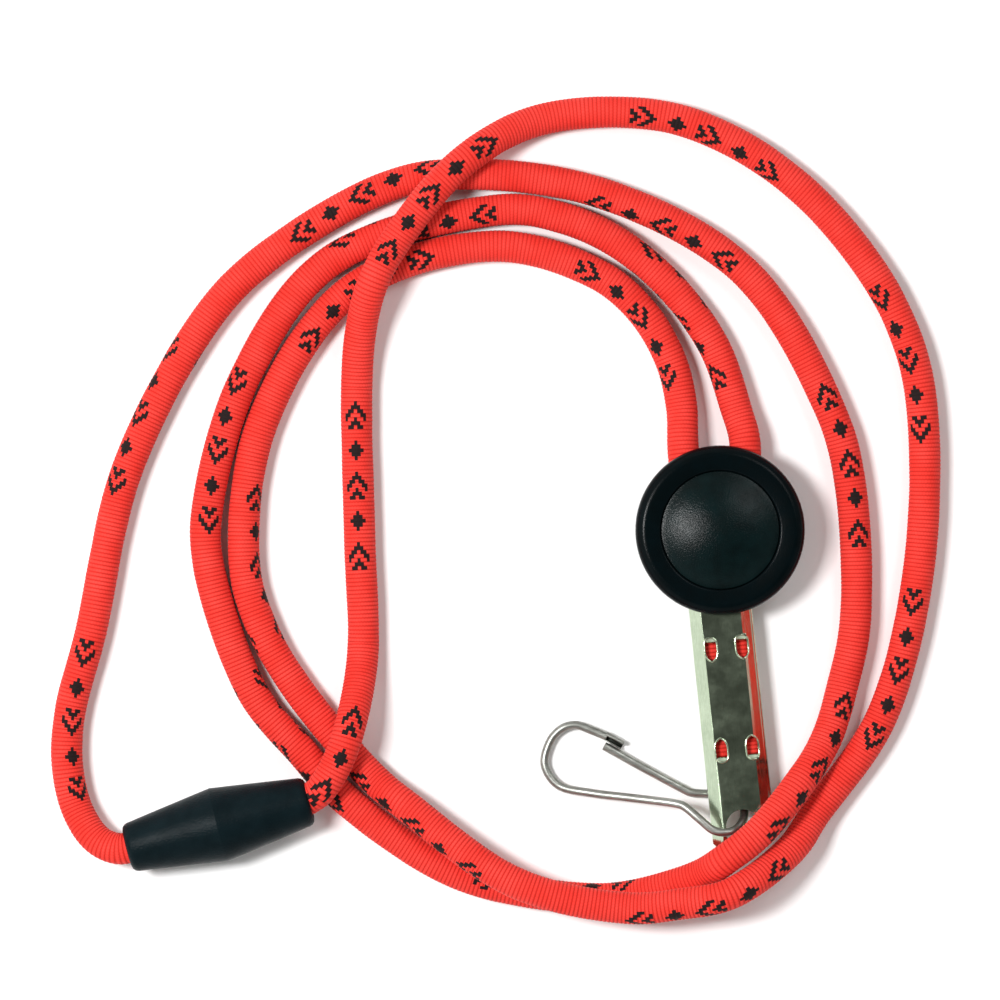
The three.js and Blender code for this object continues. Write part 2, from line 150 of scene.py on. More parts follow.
# ---- cord --------------------------------------------------------------------------------
def laid_line(route, lowest, per_span=60):
    """A smooth line through the route, as fine points, never under the lowest height."""
    p = np.array(route, float)
    q = np.vstack([2 * p[0] - p[1], p, 2 * p[-1] - p[-2]])
    line = []
    for a, b, c, d in zip(q, q[1:], q[2:], q[3:]):
        d0, d1, d2 = (math.sqrt(np.linalg.norm(x)) for x in (a - b, b - c, c - d))
        leave = ((b - a) / d0 - (c - a) / (d0 + d1) + (c - b) / d1) * d1
        arrive = ((c - b) / d1 - (d - b) / (d1 + d2) + (d - c) / d2) * d1
        for t in np.arange(per_span) / per_span:
            line.append(b + leave * t + (3 * (c - b) - 2 * leave - arrive) * t**2
                        + (2 * (b - c) + leave + arrive) * t**3)
    line = np.array(line + [p[-1]])
    line[:, 2] = np.maximum(line[:, 2], lowest)
    return line


def even_points(line, spacing):
    """The same line at even distances, and the distances."""
    along = np.r_[0, np.cumsum(np.linalg.norm(np.diff(line, axis=0), axis=1))]
    at = np.linspace(0, along[-1], int(round(along[-1] / spacing)) + 1)
    return np.stack([np.interp(at, along, line[:, i]) for i in range(3)], axis=1), at


def in_crimp(across, along, z=CRIMP_MIDDLE_Z):
    """A place given across and along the crimp, as a place of the whole object."""
    c, s = math.cos(CRIMP_TILT), math.sin(CRIMP_TILT)
    return (CRIMP_AT[0] + across * c - along * s, CRIMP_AT[1] + across * s + along * c, z)


def in_barrel(along):
    """A point on the barrel's axis, so far from its middle towards the socket's mouth."""
    return (BARREL_AT[0] + along * math.cos(BARREL_TURN),
            BARREL_AT[1] + along * math.sin(BARREL_TURN), BARREL_AT[2])


def tube_mesh(name, centres, radii_across, radii_up):
    """A closed tube of CORD_SIDES sides round the centres, its first side on top."""
    along = np.gradient(centres, axis=0)
    along /= np.linalg.norm(along, axis=1)[:, None]
    left = np.stack([-along[:, 1], along[:, 0], np.zeros(len(along))], axis=1)
    left /= np.linalg.norm(left, axis=1)[:, None]
    up = np.cross(along, left)
    angle = 2 * math.pi * np.arange(CORD_SIDES) / CORD_SIDES
    ring = (radii_across[:, None, None] * np.sin(angle)[None, :, None] * left[:, None]
            + radii_up[:, None, None] * np.cos(angle)[None, :, None] * up[:, None])
    points = (centres[:, None] + ring).reshape(-1, 3) * MM
    rings = len(centres)
    i = np.repeat(np.arange(rings - 1), CORD_SIDES) * CORD_SIDES
    j = np.tile(np.arange(CORD_SIDES), rings - 1)
    k = (j + 1) % CORD_SIDES
    walls = np.stack([i + j, i + CORD_SIDES + j, i + CORD_SIDES + k, i + k], axis=1)
    first = list(range(CORD_SIDES))
    last = [(rings - 1) * CORD_SIDES + x for x in reversed(first)]
    mesh = bpy.data.meshes.new(name)
    mesh.from_pydata(points.tolist(), [], walls.tolist() + [first, last])
    return mesh


def lay_weave(mesh, at, twist, backwards):
    """Two maps in millimetres: the weave runs straight, and the marks turn with the twist."""
    loops = len(mesh.loops)
    vertex = np.zeros(loops, int)
    mesh.loops.foreach_get("vertex_index", vertex)
    ring, side = vertex // CORD_SIDES, (vertex % CORD_SIDES).astype(float)
    face = np.repeat(np.arange(loops // 4 + 1), 4)[:loops]
    walls = (loops - 2 * CORD_SIDES) // 4
    seam = (face < walls) & (face % CORD_SIDES == CORD_SIDES - 1) & (side == 0)
    side[seam] = CORD_SIDES
    distance = at[ring]
    turn = side / CORD_SIDES
    weave = mesh.uv_layers.new(name="weave")
    weave.data.foreach_set("uv", np.stack([distance, turn * 2 * math.pi * CORD_R], 1).ravel())
    marked = 2 * FIRST_MARK + MARK_GROUP - distance if backwards else distance
    twisted = 2 * turn - np.interp(distance, *zip(*twist)) / 180
    marks = mesh.uv_layers.new(name="marks")
    marks.data.foreach_set("uv", np.stack([marked, twisted], 1).ravel())


def woven_cord(name, route, side, barrel_side, twist, backwards):
    """One half of the loop, from its pressed end in the crimp to its tip in the barrel."""
    in_the_crimp = [in_crimp(side * CORD_OFF_MIDDLE, along) for along in (9, 16, 24, 31, 38)]
    into_barrel = [in_barrel(barrel_side * 11.3), in_barrel(barrel_side * 9.9)]
    line = laid_line(in_the_crimp + route + into_barrel, CORD_R)
    centres, distance = even_points(line, RIB_PITCH / RINGS_PER_RIB)
    at = distance - CORD_IN_CRIMP
    share = np.clip((at + 0.5) / 5, 0, 1)
    share = share * share * (3 - 2 * share)
    phase = np.arange(len(at)) / RINGS_PER_RIB
    wander = 1 + 0.012 * np.sin(at / 3.7) + 0.008 * np.sin(at / 1.3 + 2)
    rib = RIB_DEPTH * (1 - np.abs(np.cos(math.pi * phase)))
    round_r = CORD_R * np.minimum(wander, 1.0) - rib
    across = PRESSED_ACROSS + (round_r - PRESSED_ACROSS) * share
    upright = PRESSED_UPRIGHT + (round_r - PRESSED_UPRIGHT) * share
    mesh = tube_mesh(name, centres, across, upright)
    lay_weave(mesh, at, twist, backwards)
    piece = bpy.data.objects.new(name, mesh)
    bpy.context.scene.collection.objects.link(piece)
    mesh.polygons.foreach_set("use_smooth", [True] * len(mesh.polygons))
    return piece, centres[::8] * MM, distance[-1] * MM


overhead_camera()
cord_right, right_line, right_length = woven_cord(
    "woven_cord_right", RIGHT_ROUTE, 1, -1, RIGHT_TWIST, False)
cord_left, left_line, left_length = woven_cord(
    "woven_cord_left", LEFT_ROUTE, -1, 1, LEFT_TWIST, True)


# ---- ways of working ---------------------------------------------------------------------
def work_on(piece):
    if bpy.context.object and bpy.context.object.mode != "OBJECT":
        bpy.ops.object.mode_set(mode="OBJECT")
    bpy.ops.object.select_all(action="DESELECT")
    if piece:
        piece.select_set(True)
        bpy.context.view_layer.objects.active = piece


def pick_edges(piece, wanted):
    """In edit mode, selects only the edges that wanted() says."""
    shape = bmesh.from_edit_mesh(piece.data)
    bpy.ops.mesh.select_all(action="DESELECT")
    for edge in shape.edges:
        if wanted(edge):
            edge.select_set(True)
    shape.select_flush_mode()
    bmesh.update_edit_mesh(piece.data)


def name_piece(piece, name):
    piece.name = piece.data.name = name
    return piece


def settle(piece, x=0.0, y=0.0, z=0.0, turn=0.0):
    """Moves the mesh of a piece made about the origin to its place, in millimetres."""
    work_on(piece)
    place = Matrix.Translation((x * MM, y * MM, z * MM))
    piece.data.transform(place @ Matrix.Rotation(turn, 4, "Z"))
    piece.data.update()
    return piece


def apply_modifier(piece, kind, **settings):
    work_on(piece)
    modifier = piece.modifiers.new(kind.title(), kind)
    for key, value in settings.items():
        setattr(modifier, key, value)
    bpy.ops.object.modifier_apply(modifier=modifier.name)


def smooth_piece(piece, degrees=32):
    work_on(piece)
    bpy.ops.object.shade_smooth_by_angle(angle=math.radians(degrees))
    return piece


def softened(profile, steps=4):
    """A profile whose corners with a third number are rounded to that radius."""
    points = []
    for i, corner in enumerate(profile):
        here = Vector(corner[:2])
        if len(corner) < 3:
            points.append(tuple(here))
            continue
        before, after = Vector(profile[i - 1][:2]), Vector(profile[(i + 1) % len(profile)][:2])
        start = here + (before - here).normalized() * min(corner[2], (before - here).length / 2)
        end = here + (after - here).normalized() * min(corner[2], (after - here).length / 2)
        for t in (k / steps for k in range(steps + 1)):
            points.append(tuple(start * (1 - t) ** 2 + here * 2 * t * (1 - t) + end * t**2))
    return points


def drawn_outline(name, points, closed):
    """A new piece of edges drawn from point to point, left in edit mode and selected."""
    work_on(None)
    bpy.ops.mesh.primitive_plane_add(size=MM, location=(0, 0, 0))
    piece = name_piece(bpy.context.object, name)
    bpy.ops.object.mode_set(mode="EDIT")
    bpy.ops.mesh.select_all(action="SELECT")
    bpy.ops.mesh.merge(type="CENTER")
    bpy.ops.transform.translate(value=points[0])
    for here, there in zip(points, points[1:] + (points[:1] if closed else [])):
        bpy.ops.mesh.extrude_vertices_move(TRANSFORM_OT_translate={"value": there - here})
    bpy.ops.mesh.select_all(action="SELECT")
    bpy.ops.mesh.remove_doubles(threshold=1e-7)
    return piece


def turned(name, profile, steps, closed=False):
    """A profile of (radius, height), spun about Z."""
    piece = drawn_outline(name, [Vector((r * MM, 0, h * MM)) for r, h in profile], closed)
    bpy.ops.mesh.spin(steps=steps, angle=2 * math.pi, center=(0, 0, 0), axis=(0, 0, 1))
    bpy.ops.mesh.select_all(action="SELECT")
    bpy.ops.mesh.remove_doubles(threshold=1e-6)
    bpy.ops.mesh.normals_make_consistent(inside=False)
    bpy.ops.object.mode_set(mode="OBJECT")
    return piece


def redrawn(piece, points):
    """Gives a curve piece a single run of straight lines through the points, in millimetres."""
    piece.data.splines.clear()
    spline = piece.data.splines.new("POLY")
    spline.points.add(len(points) - 1)
    for point, place in zip(spline.points, points):
        point.co = (*(c * MM for c in place), 1)
    return spline


def thickened(piece, radius, resolution):
    """Gives a curve piece a round section and makes it a mesh."""
    piece.data.bevel_depth = radius * MM
    piece.data.bevel_resolution = resolution
    bpy.ops.object.convert(target="MESH")
    return bpy.context.object


def refined_copy(node, name, bevel, segments=2, reshape=None, crease=40):
    """A copy of a CAD node, merged, its flat faces made whole and its edges broken."""
    piece = bpy.data.objects.new(name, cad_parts[node].data.copy())
    bpy.context.scene.collection.objects.link(piece)
    piece.data.materials.clear()
    work_on(piece)
    bpy.ops.object.mode_set(mode="EDIT")
    bpy.ops.mesh.select_all(action="SELECT")
    bpy.ops.mesh.remove_doubles(threshold=1e-6)
    bpy.ops.mesh.dissolve_limited(angle_limit=math.radians(1))
    bpy.ops.object.mode_set(mode="OBJECT")
    apply_modifier(piece, "BEVEL", width=bevel * MM, segments=segments, limit_method="ANGLE",
                   angle_limit=math.radians(35), use_clamp_overlap=True)
    if reshape:
        reshape(piece)
    smooth_piece(piece, crease)
    apply_modifier(piece, "WEIGHTED_NORMAL", keep_sharp=True)
    return piece


# ---- cord slider -------------------------------------------------------------------------
def slider_shell():
    profile = softened([
        (0, 5.6), (11.0, 5.6, 0.2), (11.4, 6.2, 0.4), (11.38, 7.45, 0.6), (10.45, 8.3, 0.5),
        (8.16, 8.14, 0.14), (8.02, 7.95), (8.02, 7.0), (0, 7.0),
    ])
    return smooth_piece(settle(turned("slider_shell", profile, 128), *SLIDER_AT))


def slider_dome():
    ball_r = (DOME_R**2 + DOME_RISE**2) / (2 * DOME_RISE)
    top = [(r, DOME_TOP - ball_r + math.sqrt(ball_r**2 - r**2))
           for r in np.linspace(DOME_R - 0.05, 0, 16)]
    profile = [(0, 7.1), (DOME_R, 7.1), (7.92, 7.2), (7.92, 7.66), (7.86, 7.75)] + top
    return smooth_piece(settle(turned("slider_dome", profile, 128), *SLIDER_AT))


def deepen_mouth(piece):
    """Slopes the floor of the cord way down to the mouth that the cord drops out of."""
    for vertex in piece.data.vertices:
        along = vertex.co.y / MM - SLIDER_AT[1]
        at_mouth, in_floor = along > 4, 0.7 < vertex.co.z / MM < 1.6
        if at_mouth and in_floor:
            vertex.co.z -= MOUTH_DROP * MM * (along + CUP_HALF_WAY) / (2 * CUP_HALF_WAY)


def slider_cup():
    """The back of the slider, which holds both cords."""
    return refined_copy("slider_back", "slider_cup", 0.35, 3, deepen_mouth)


# ---- breakaway barrel --------------------------------------------------------------------
BARREL_WALL = [
    (5.05, 0.0), (4.72, 2.4), (3.98, 7.6), (3.4, 11.5), (3.36, 11.85),
    (3.2, 12.28), (2.92, 12.56), (2.55, 12.68), (2.35, 12.5), (2.35, 10), (2.9, 9.5),
]


def barrel_half(name, inside, direction):
    piece = turned(name, softened(BARREL_WALL + inside), 96, closed=True)
    work_on(piece)
    piece.data.transform(Matrix.Rotation(direction * math.pi / 2, 4, "Y"))
    return smooth_piece(settle(piece, *BARREL_AT, turn=BARREL_TURN), 30)


def barrel_socket():
    return barrel_half("barrel_socket", [(2.9, 6.4), (3.95, 6.2), (3.95, 0.6), (4.2, 0.004)], 1)


def barrel_plug():
    return barrel_half("barrel_plug", [
        (2.9, -5.3), (3.1, -5.5), (3.3, -5.5), (3.6, -4.9), (3.6, -4.1), (3.35, -3.7),
        (3.35, 0.004),
    ], -1)


# ---- crimp -------------------------------------------------------------------------------
def pressed(out, up, side):
    """How much of its way out a point keeps when its fold is pressed to a slant."""
    slant = math.tan(math.radians(FOLD_SLANT[side]))
    angle = math.atan2(out, up)
    on_slant = (1 + FOLD_START[side] * slant) / (math.cos(angle) + slant * math.sin(angle))
    return min(on_slant, 1 / math.sin(angle), 1 / max(math.cos(angle), 1e-6))


def front_z(across):
    """The height of the crimp's front, in millimetres, over its flat and its slanted folds."""
    side = 1 if across > 0 else -1
    out = abs(across) - (CRIMP_WIDTH / 2 - FOLD_R)
    slant = math.tan(math.radians(FOLD_SLANT[side]))
    return CRIMP_FRONT_Z - max(0, out - FOLD_START[side] * FOLD_R) * slant


def rounder(x, y):
    """A punched hole's outline, drawn about its round end, with its tip made blunter."""
    reach = PUNCH_LENGTH - PUNCH_WIDTH / 2
    tip = min(max(-y / reach, 0), 1)
    return x * (1 + 0.8 * tip * tip), y


def press_folds(piece):
    """Presses the front folds to slants, blunts the holes' tips and slopes the foot."""
    place = Matrix.Translation((CRIMP_AT[0] * MM, CRIMP_AT[1] * MM, 0)) @ Matrix.Rotation(
        CRIMP_TILT, 4, "Z")
    piece.data.transform(place.inverted())
    fold_x, fold_z = (CRIMP_WIDTH / 2 - FOLD_R) * MM, (CRIMP_FRONT_Z - FOLD_R) * MM
    shape = bmesh.new()
    shape.from_mesh(piece.data)
    bmesh.ops.bisect_plane(shape, geom=shape.verts[:] + shape.edges[:] + shape.faces[:],
                           plane_co=(0, FOOT_FROM * MM, 0), plane_no=(0, 1, 0))
    shape.to_mesh(piece.data)
    shape.free()
    for vertex in piece.data.vertices:
        for across, along, towards in PUNCHES:
            x, y = (vertex.co.x / MM - across), (vertex.co.y / MM - along) * towards
            on_outline = abs(x) < 0.98 and -2.7 < y < 1.0
            if on_outline and vertex.co.z > fold_z:
                on_fold = abs(vertex.co.x - fold_x) < 0.02 * MM
                x, y = (x, y * 1.11) if on_fold and y < 0 else rounder(x, y)
                vertex.co.x, vertex.co.y = (across + x) * MM, (along + y * towards) * MM
        side = 1 if vertex.co.x > 0 else -1
        out, up = abs(vertex.co.x) - fold_x, vertex.co.z - fold_z
        if out > 1e-6 and up > 1e-6:
            keep = pressed(out, up, side)
            vertex.co.x = side * (fold_x + out * keep)
            vertex.co.z = fold_z + up * keep
        if vertex.co.z > fold_z and vertex.co.y < FOOT_FROM * MM:
            vertex.co.z -= (FOOT_FROM * MM - vertex.co.y) * FOOT_SLOPE
    piece.data.transform(place)


def crimp_body():
    """The folded sleeve, its two front folds pressed to slants."""
    return refined_copy("crimp_sleeve", "crimp_body", 0.1, 2, press_folds, 25)


def crimp_prong(name, across, along, towards):
    """A tongue punched out of the front and bent down into the cord."""
    work_on(None)
    bpy.ops.mesh.primitive_plane_add(size=1, location=(0, 0, 0))
    piece = name_piece(bpy.context.object, name)
    bpy.ops.object.mode_set(mode="EDIT")
    bpy.ops.mesh.select_all(action="SELECT")
    bpy.ops.mesh.subdivide(number_cuts=3)
    bpy.ops.transform.resize(value=(PRONG_WIDTH * MM, PRONG_ROOT * MM, 1))
    bpy.ops.transform.translate(value=(0, -PRONG_ROOT / 2 * MM, 0))
    bend = [(0.08, -0.02), (0.2, -0.1), (0.28, -0.16), (0.2, -0.17), (0.1, -0.24), (0.03, -0.5)]
    pick_edges(piece, lambda edge: all(v.co.y > -0.001 * MM for v in edge.verts))
    for k, (forward, down) in enumerate(bend):
        bpy.ops.mesh.extrude_region_move(
            TRANSFORM_OT_translate={"value": (0, forward * MM, down * MM)})
        bpy.ops.transform.resize(value=(0.96 - 0.05 * k, 1, 1))
    bpy.ops.object.mode_set(mode="OBJECT")
    # The root follows the curve of the hole's round end.
    for vertex in piece.data.vertices:
        if vertex.co.z > -0.3 * MM:
            vertex.co.y += (vertex.co.x / (PUNCH_WIDTH / 2 * MM)) ** 2 * 0.42 * MM
    apply_modifier(piece, "SOLIDIFY", thickness=PRONG_THICKNESS * MM, offset=-1)
    apply_modifier(piece, "BEVEL", width=0.06 * MM, segments=2, limit_method="ANGLE")
    if towards < 0:
        piece.data.transform(Matrix.Rotation(math.pi, 4, "Z"))
    x, y, z = in_crimp(across, along, front_z(across) - 0.04)
    return smooth_piece(settle(piece, x, y, z, CRIMP_TILT), 50)


def punched_rim(name, across, along, towards):
    """The burr that the punch raised round a hole: a round end, and a blunt point."""
    half, reach = PUNCH_WIDTH / 2, PUNCH_LENGTH - PUNCH_WIDTH / 2
    outline = [(half * math.cos(a), half * math.sin(a)) for a in np.linspace(0, math.pi, 13)]
    for t in np.linspace(0, 1, 9)[1:]:
        outline.append((-half * (1 - t * t), -reach * (1.4 * t * (1 - t) + t * t)))
    outline += [(-x, y) for x, y in reversed(outline[13:-1])]
    points = [(across + x, along + towards * y) for x, y in (rounder(*at) for at in outline)]
    work_on(None)
    bpy.ops.curve.primitive_bezier_circle_add(location=(0, 0, 0))
    piece = name_piece(bpy.context.object, name)
    spline = redrawn(piece, [in_crimp(x, y, front_z(x) - 0.03) for x, y in points])
    spline.use_cyclic_u = True
    piece.data.dimensions = "3D"
    return smooth_piece(thickened(piece, PUNCH_RIM_R, 3), 60)


def punchings():
    """The four punched holes' prongs and rims."""
    pieces = []
    for number, (across, along, towards) in enumerate(PUNCHES):
        root = along + 0.84 * towards
        pieces.append(crimp_prong(f"crimp_prong_{number}", across, root, -towards))
        pieces.append(punched_rim(f"crimp_rim_{number}", across, along, towards))
    return pieces


# ---- spring hook -------------------------------------------------------------------------
LOWER_ARM = [
    (-1.62, -2.3, 6.0), (-3.51, -0.81, 5.9), (-5.67, 0.95, 5.4), (-6.48, 1.22, 5.2),
    (-12, 1.89, 3.4), (-18.1, 2.57, 1.6), (-22.1, 3.38, 0.8),
]
BOW = [
    (-23.6, 4.73, 0.65), (-24.35, 6.6, 0.65), (-24.0, 8.5, 0.65), (-23.09, 10.26, 0.7),
    (-21.6, 11.45, 0.8), (-19.98, 11.7, 0.85), (-18.2, 11.1, 0.9), (-15.9, 10.15, 1),
]
GATE = [
    (-1.45, 2.4, 0.65), (-3.2, 2.45, 0.65), (-4.6, 2.6, 0.65), (-5.94, 3.24, 0.65),
    (-10.87, 5.87, 0.8), (-16.3, 8.9, 1),
]
TROUGH_SECTION = [
    (0.6, 0.3), (0.6, -0.35), (0.35, -0.6), (-0.5, -0.6), (-0.6, -0.5), (-0.6, 0.0),
    (-0.46, 0.0), (-0.4, -0.5), (0.0, -0.5), (0.06, 0.42), (0.2, 0.6), (0.4, 0.55),
]


def eye_points():
    """The eye, which climbs round from under the crimp's edge to over its front."""
    points = []
    for degrees in range(100, -91, -19):
        angle = math.radians(degrees)
        share = min(max((CLIMB_FROM - degrees) / CLIMB_OVER, 0), 1)
        points.append((EYE_R * math.cos(angle), EYE_R * math.sin(angle),
                       WIRE_LOW_Z + EYE_CLIMB * share))
    return points


def bent_wire(name, route):
    """Round wire along a route measured from the eye, with the edge of its far end broken."""
    line = laid_line(route, WIRE_LOW_Z, 14)
    near_end = line[-1] + (line[-2] - line[-1]) * 0.08 / np.linalg.norm(line[-2] - line[-1])
    line = np.vstack([line[:-1], near_end, line[-1]])
    work_on(None)
    bpy.ops.curve.primitive_nurbs_path_add(location=(0, 0, 0))
    piece = name_piece(bpy.context.object, name)
    spline = redrawn(piece, [(EYE_AT[0] + x, EYE_AT[1] + y, z) for x, y, z in line])
    spline.points[-1].radius = 0.86
    piece.data.use_fill_caps = True
    return smooth_piece(thickened(piece, WIRE_R, 6), 40)


def hook_trough():
    """The wire's end, notched along one side so that the gate arm's tip can drop in."""
    start = -TROUGH_LENGTH / 2 * MM
    piece = drawn_outline("hook_trough", [Vector((start, y * MM, z * MM))
                                          for y, z in TROUGH_SECTION], True)
    bpy.ops.mesh.edge_face_add()
    bpy.ops.mesh.extrude_region_move(
        TRANSFORM_OT_translate={"value": (TROUGH_LENGTH * MM, 0, 0)})
    bpy.ops.mesh.select_all(action="SELECT")
    bpy.ops.mesh.normals_make_consistent(inside=False)
    bpy.ops.object.mode_set(mode="OBJECT")
    apply_modifier(piece, "BEVEL", width=0.04 * MM, segments=2, limit_method="ANGLE",
                   angle_limit=math.radians(50))
    # Faces inside the channel, which fit_hardware gives near-black steel as painted shade.
    inside = [face.index for face in piece.data.polygons
              if -0.43 < face.center.y / MM < 0.07 and -0.52 < face.center.z / MM < 0.36
              and abs(face.center.x) < 1.34 * MM]
    x, y, z = TROUGH_AT
    settle(piece, EYE_AT[0] + x, EYE_AT[1] + y, z, TROUGH_TURN)
    return smooth_piece(piece, 50), inside


# ---- node helpers ------------------------------------------------------------------------
def put(tree, kind, inputs=None, **settings):
    node = tree.nodes.new("ShaderNode" + kind)
    for key, value in settings.items():
        setattr(node, key, value)
    for key, value in (inputs or {}).items():
        if isinstance(value, bpy.types.NodeSocket):
            tree.links.new(value, node.inputs[key])
        else:
            node.inputs[key].default_value = value
    return node


def calc(tree, operation, *values):
    return put(tree, "Math", dict(enumerate(values)), operation=operation).outputs[0]


def between(tree, value, low, high):
    """1 where the value is from low up to high."""
    return calc(tree, "MULTIPLY", calc(tree, "GREATER_THAN", value, low),
                calc(tree, "LESS_THAN", value, high))


def scaled(tree, value, from_low, from_high, low, high):
    return put(tree, "MapRange", {0: value, 1: from_low, 2: from_high, 3: low, 4: high}).outputs[0]


def tint(tree, share, first, second):
    return put(tree, "Mix", {0: share, 6: first, 7: second}, data_type="RGBA").outputs[2]


def split(tree, vector):
    return put(tree, "SeparateXYZ", {0: vector}).outputs


def effect(name, inputs, outputs):
    """A shader node group with named inputs and outputs."""
    group = bpy.data.node_groups.new(name, "ShaderNodeTree")
    for label, default in inputs.items():
        kind = "NodeSocketVector" if default is None else "NodeSocketFloat"
        socket = group.interface.new_socket(name=label, in_out="INPUT", socket_type=kind)
        if default is not None:
            socket.default_value = default
    for label in outputs:
        group.interface.new_socket(name=label, in_out="OUTPUT", socket_type="NodeSocketFloat")
    return group, group.nodes.new("NodeGroupInput"), group.nodes.new("NodeGroupOutput")


def use(tree, group, **inputs):
    node = tree.nodes.new("ShaderNodeGroup")
    node.node_tree = group
    for label, value in inputs.items():
        if isinstance(value, bpy.types.NodeSocket):
            tree.links.new(value, node.inputs[label])
        else:
            node.inputs[label].default_value = value
    return node.outputs


# ---- shared effects ----------------------------------------------------------------------
def moulded_grain():
    """Spark-eroded mould texture: small pits and a slower unevenness."""
    group, given, out = effect("moulded_grain", {"Place": None, "Fineness": 6000.0},
                               ["Height", "Sheen"])
    place, fineness = given.outputs[:2]
    pits = put(group, "TexVoronoi", {"Vector": place, "Scale": fineness})
    fine = put(group, "TexNoise", {"Vector": place, "Scale": fineness, "Detail": 3.0})
    slow = put(group, "TexNoise", {"Vector": place, "Scale": 420.0, "Detail": 4.0})
    height = calc(group, "ADD", calc(group, "MULTIPLY", pits.outputs["Distance"], 0.55),
                  calc(group, "MULTIPLY", fine.outputs["Fac"], 0.6))
    group.links.new(height, out.inputs["Height"])
    group.links.new(slow.outputs["Fac"], out.inputs["Sheen"])
    return group


def plating():
    """Plated steel: slow cloudiness, and the fine lines that rolling or drawing left."""
    group, given, out = effect("plating", {"Place": None, "Drawn": None}, ["Cloud", "Lines"])
    place, drawn = given.outputs[:2]
    cloud = put(group, "TexNoise", {"Vector": place, "Scale": 330.0, "Detail": 5.0,
                                    "Roughness": 0.62})
    lines = put(group, "TexNoise", {"Vector": drawn, "Scale": 1.0, "Detail": 3.0})
    group.links.new(cloud.outputs["Fac"], out.inputs["Cloud"])
    group.links.new(lines.outputs["Fac"], out.inputs["Lines"])
    return group


def weave():
    """Cross ribs and the staggered stitches in them, from millimetres along and around."""
    group, given, out = effect("weave", {"Along": 0.0, "Around": 0.0}, ["Height", "Stitch"])
    along, around = given.outputs[:2]
    turns = calc(group, "DIVIDE", along, RIB_PITCH)
    rib = calc(group, "ABSOLUTE", calc(group, "COSINE", calc(group, "MULTIPLY", turns, math.pi)))
    row = calc(group, "FLOOR", calc(group, "ADD", turns, 0.5))
    step = calc(group, "ADD", calc(group, "DIVIDE", around, STITCH_PITCH),
                calc(group, "MULTIPLY", row, 0.5))
    stitch = calc(group, "ABSOLUTE", calc(group, "SINE", calc(group, "MULTIPLY", step, math.pi)))
    thread = calc(group, "ADD", 0.65, calc(group, "MULTIPLY", stitch, 0.35))
    # Stitch is 0 in the valleys between ribs and 1 on the tops, and lower between stitches;
    # woven_polyester paints shade into the cord's colour with it.
    group.links.new(calc(group, "MULTIPLY", rib, thread), out.inputs["Stitch"])
    group.links.new(calc(group, "MULTIPLY", rib, calc(group, "POWER", thread, 0.6)),
                    out.inputs["Height"])
    return group


GRAIN, PLATING, WEAVE = moulded_grain(), plating(), weave()


# ---- finishes ----------------------------------------------------------------------------
def finish(name, **values):
    material = bpy.data.materials.new(name)
    material.use_nodes = True
    tree = material.node_tree
    shader = tree.nodes["Principled BSDF"]
    for key, value in values.items():
        shader.inputs[key.replace("_", " ")].default_value = value
    place = put(tree, "TexCoord").outputs["Object"]
    return material, tree, shader.inputs, place


def bump(tree, shader, height, depth):
    node = put(tree, "Bump", {"Height": height, "Distance": depth * MM, "Strength": 1.0})
    tree.links.new(node.outputs[0], shader["Normal"])


def black_plastic(name, colour, grey, fineness, depth, rough, gloss):
    material, tree, shader, place = finish(name, Specular_IOR_Level=gloss)
    grain = use(tree, GRAIN, Place=place, Fineness=fineness)
    worn = scaled(tree, grain["Sheen"], 0.35, 0.7, 0.0, 1.0)
    tree.links.new(tint(tree, worn, colour, grey), shader["Base Color"])
    tree.links.new(scaled(tree, grain["Sheen"], 0.3, 0.7, rough + 0.05, rough - 0.05),
                   shader["Roughness"])
    bump(tree, shader, grain["Height"], depth)
    return material


def plated_steel(name, bright, dull, rough, depth, drawn_scale, drawn_turn=0.0):
    material, tree, shader, place = finish(name, Metallic=1.0)
    drawn = put(tree, "Mapping", {"Vector": place, "Scale": drawn_scale,
                                  "Rotation": (0.0, 0.0, math.radians(drawn_turn))})
    marks = use(tree, PLATING, Place=place, Drawn=drawn.outputs[0])
    cloud = scaled(tree, marks["Cloud"], 0.3, 0.7, 0.0, 1.0)
    lines = scaled(tree, marks["Lines"], 0.35, 0.65, 0.0, 1.0)
    shade = calc(tree, "ADD", calc(tree, "MULTIPLY", cloud, 0.6),
                 calc(tree, "MULTIPLY", lines, 0.4))
    tree.links.new(tint(tree, shade, bright, dull), shader["Base Color"])
    tree.links.new(scaled(tree, marks["Cloud"], 0.3, 0.7, rough - 0.03, rough + 0.07),
                   shader["Roughness"])
    height = calc(tree, "ADD", marks["Cloud"], calc(tree, "MULTIPLY", marks["Lines"], 0.2))
    bump(tree, shader, height, depth)
    return material


